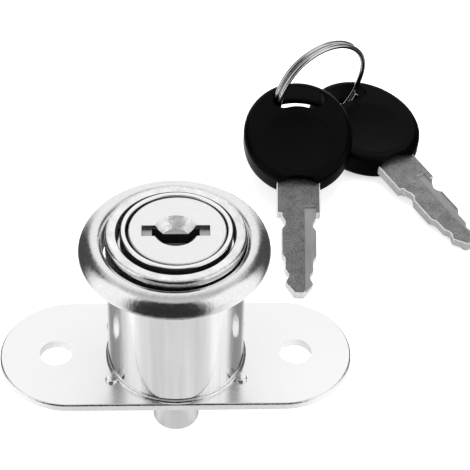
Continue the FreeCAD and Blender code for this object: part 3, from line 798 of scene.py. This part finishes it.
def ring_route():
    """The ring's middle line: a flat turn, the step, and a flat turn again up to the step's start."""
    flat = 360 - ring_step_angle
    route = []
    for i in range(ring_points + 1):
        angle = (360 + flat) * i / ring_points
        share = min(max((angle - flat) / ring_step_angle, 0), 1)
        level = ring_level * (2 * share * share * (3 - 2 * share) - 1)
        a = math.radians(angle)
        route.append(Vector((ring_mean_r * math.cos(a), ring_mean_r * math.sin(a), level)) * MM)
    return route


ring = wire("split_ring", ring_route(), ring_wire_r * MM, [ring_steel])
shift(ring, moved(*ring_middle) @ turned(ring_facing, "Z") @ turned(ring_lean, "Y")
      @ turned(ring_step_place, "Z"))
dress(smooth(ring, 50), "key_ring", "key_ring")

# The inner pieces keep their solids and get their finish

inner_finish = {
    "guide_bush": turned_steel, "cylinder_end_cap": turned_steel, "return_spring": spring_steel,
    "plug_clip": spring_steel, "latch_catch": spring_steel, "wafer_springs": spring_steel,
}
for i in range(wafer_count):
    inner_finish["wafer_%d" % (i + 1)] = brass
for node, finish in inner_finish.items():
    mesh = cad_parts[node].data
    mesh.materials.clear()
    mesh.materials.append(finish)


# Stage: a white floor that keeps a soft shadow, and a tent of light and dark that only reflections show

def between(value, low, high, soft):
    """1 from low to high, falling smoothly to 0 over soft on both sides."""
    inside = min((value - low) / soft + 0.5, (high - value) / soft + 0.5)
    inside = min(max(inside, 0), 1)
    return inside * inside * (3 - 2 * inside)


def brightness(azimuth):
    return 1 + bright_gain * between(abs(azimuth), *bright_band)


def tent_tone(azimuth, elevation):
    """Brightness of the tent; azimuth 0 is towards the camera and positive to the right."""
    sides = side_dark * between(abs(azimuth), *side_band) * between(elevation, *side_height)
    front = front_dark * between(azimuth, *front_band) * between(elevation, *front_height)
    above = top_dark * between(elevation, *top_height)
    return (1 - max(sides, front)) * (brightness(azimuth) - above)


def floor_tone(azimuth, distance):
    """Brightness of the floor in reflections, at a distance from the lock's axis."""
    far_out = between(distance, *far_reach)
    sides = side_dark * between(abs(azimuth), *side_band) * far_out
    front = front_dark * between(azimuth, *front_band) * far_out
    close = near_dark * between(azimuth, *near_band)
    return brightness(azimuth) * (1 - max(sides, front, close))


def toned(name, rings, tones, mat, count=120):
    """Rings of (radius, z) round the lock's axis joined to a surface, with tones(azimuth, ring) on it."""
    verts, faces, values = [], [], []
    for i, (radius, z) in enumerate(rings):
        for k in range(count):
            azimuth = -180 + 360 * k / count
            a, n = math.radians(azimuth), (k + 1) % count
            verts.append((radius * math.sin(a) * MM, -radius * math.cos(a) * MM, z * MM))
            values.append(tones(azimuth, i))
            if i:
                faces.append(((i - 1) * count + k, (i - 1) * count + n, i * count + n, i * count + k))
    mesh = bpy.data.meshes.new(name)
    mesh.from_pydata(verts, [], faces)
    mesh.attributes.new("tone", "FLOAT", "POINT").data.foreach_set("value", values)
    return link(name, mesh, [mat])


def rays(tree, *kinds):
    """1 for the named kinds of ray, 0 for the others."""
    path = tree.nodes.new("ShaderNodeLightPath")
    total = path.outputs[kinds[0]]
    for kind in kinds[1:]:
        both = tree.nodes.new("ShaderNodeMath")
        both.operation = "MAXIMUM"
        tree.links.new(total, both.inputs[0])
        tree.links.new(path.outputs[kind], both.inputs[1])
        total = both.outputs["Value"]
    return total


def glow(tree, strength):
    shader = tree.nodes.new("ShaderNodeEmission")
    tree.links.new(strength, shader.inputs["Strength"])
    return shader.outputs["Emission"]


def toned_glow(tree):
    tone = tree.nodes.new("ShaderNodeAttribute")
    tone.attribute_name = "tone"
    return glow(tree, tone.outputs["Fac"])


def stage_material(name):
    """A material without its own shader, and the socket that takes another."""
    mat, tree = material(name)
    tree.nodes.remove(tree.nodes["Principled BSDF"])
    return mat, tree, tree.nodes["Material Output"].inputs["Surface"]


def stage_floor():
    """White for the camera with a soft shadow on it, and floor_tone for what mirrors it."""
    mat, tree, surface = stage_material("floor_white")
    diffuse = tree.nodes.new("ShaderNodeBsdfDiffuse")
    diffuse.inputs["Color"].default_value = (0.8, 0.8, 0.8, 1)
    strength = tree.nodes.new("ShaderNodeMath")
    strength.operation = "MULTIPLY"
    strength.inputs[1].default_value = floor_glow
    tree.links.new(rays(tree, "Is Camera Ray", "Is Transmission Ray"), strength.inputs[0])
    seen = tree.nodes.new("ShaderNodeAddShader")
    tree.links.new(diffuse.outputs["BSDF"], seen.inputs[0])
    tree.links.new(glow(tree, strength.outputs["Value"]), seen.inputs[1])
    both = tree.nodes.new("ShaderNodeMixShader")
    tree.links.new(rays(tree, "Is Glossy Ray"), both.inputs["Fac"])
    tree.links.new(seen.outputs["Shader"], both.inputs[1])
    tree.links.new(toned_glow(tree), both.inputs[2])
    tree.links.new(both.outputs["Shader"], surface)
    floor = toned("floor", [(reach, 0) for reach in floor_reaches],
                  lambda azimuth, i: floor_tone(azimuth, floor_reaches[i]), mat)
    floor.location.z = (pin_end - floor_gap) * MM


def stage_tent(steps=60):
    mat, tree, surface = stage_material("tent")
    tree.links.new(toned_glow(tree), surface)
    heights = [tent_low + (tent_high - tent_low) * k / steps for k in range(steps + 1)]
    rings = [(tent_radius * math.cos(math.radians(height)), tent_radius * math.sin(math.radians(height)))
             for height in heights]
    tent = toned("tent", rings, lambda azimuth, i: tent_tone(azimuth, heights[i]), mat)
    for way in ("camera", "diffuse", "shadow", "transmission", "volume_scatter"):
        setattr(tent, "visible_" + way, False)


def lamp(name, azimuth, elevation, size, power, distance=0.9):
    """A round lamp that shines on the lock; angles in degrees, size and distance in metres."""
    light = bpy.data.lights.new(name, "AREA")
    light.shape = "DISK"
    light.size = size
    light.energy = power
    obj = bpy.data.objects.new(name, light)
    a, e = math.radians(azimuth), math.radians(elevation)
    place = Vector((math.cos(e) * math.sin(a), -math.cos(e) * math.cos(a), math.sin(e))) * distance
    obj.location = place
    obj.rotation_euler = (-place).to_track_quat("-Z", "Y").to_euler()
    bpy.context.scene.collection.objects.link(obj)
    obj.visible_camera = False
    obj.visible_glossy = False


def stage_world():
    """A white world that lights less than it shows."""
    world = bpy.data.worlds.new("studio")
    bpy.context.scene.world = world
    world.use_nodes = True
    tree = world.node_tree
    seen = rays(tree, "Is Camera Ray", "Is Glossy Ray", "Is Transmission Ray")
    background = tree.nodes["Background"]
    tree.links.new(remapped(tree, seen, 0, 1, world_light, 1.0), background.inputs["Strength"])
    background.inputs["Color"].default_value = (1, 1, 1, 1)


stage_floor()
stage_tent()
stage_world()
lamp("overhead", azimuth=170, elevation=70, size=0.7, power=6.0)
lamp("front_left", azimuth=-50, elevation=45, size=0.5, power=2.0)
lamp("front_right", azimuth=55, elevation=45, size=0.5, power=2.0)


# Camera

def set_camera():
    tilt, facing, roll = [math.radians(a) for a in (camera_tilt, camera_facing, camera_roll)]
    towards = Vector((math.sin(facing) * math.cos(tilt), -math.cos(facing) * math.cos(tilt), math.sin(tilt)))
    level = Vector((math.cos(facing), math.sin(facing), 0))
    upright = towards.cross(level)
    right = level * math.cos(roll) + upright * math.sin(roll)
    up = upright * math.cos(roll) - level * math.sin(roll)
    data = bpy.data.cameras.new("camera")
    data.sensor_width = sensor_width
    data.lens = sensor_width * pixels_per_mm * camera_distance / picture_width
    data.clip_start, data.clip_end = 0.01, 20
    obj = bpy.data.objects.new("camera", data)
    place = moved(*(towards * camera_distance - right * origin_across - up * origin_rise))
    obj.matrix_world = place @ Matrix((right, up, towards)).transposed().to_4x4()
    bpy.context.scene.collection.objects.link(obj)
    bpy.context.scene.camera = obj


set_camera()
bpy.context.scene.view_settings.view_transform = "Standard"
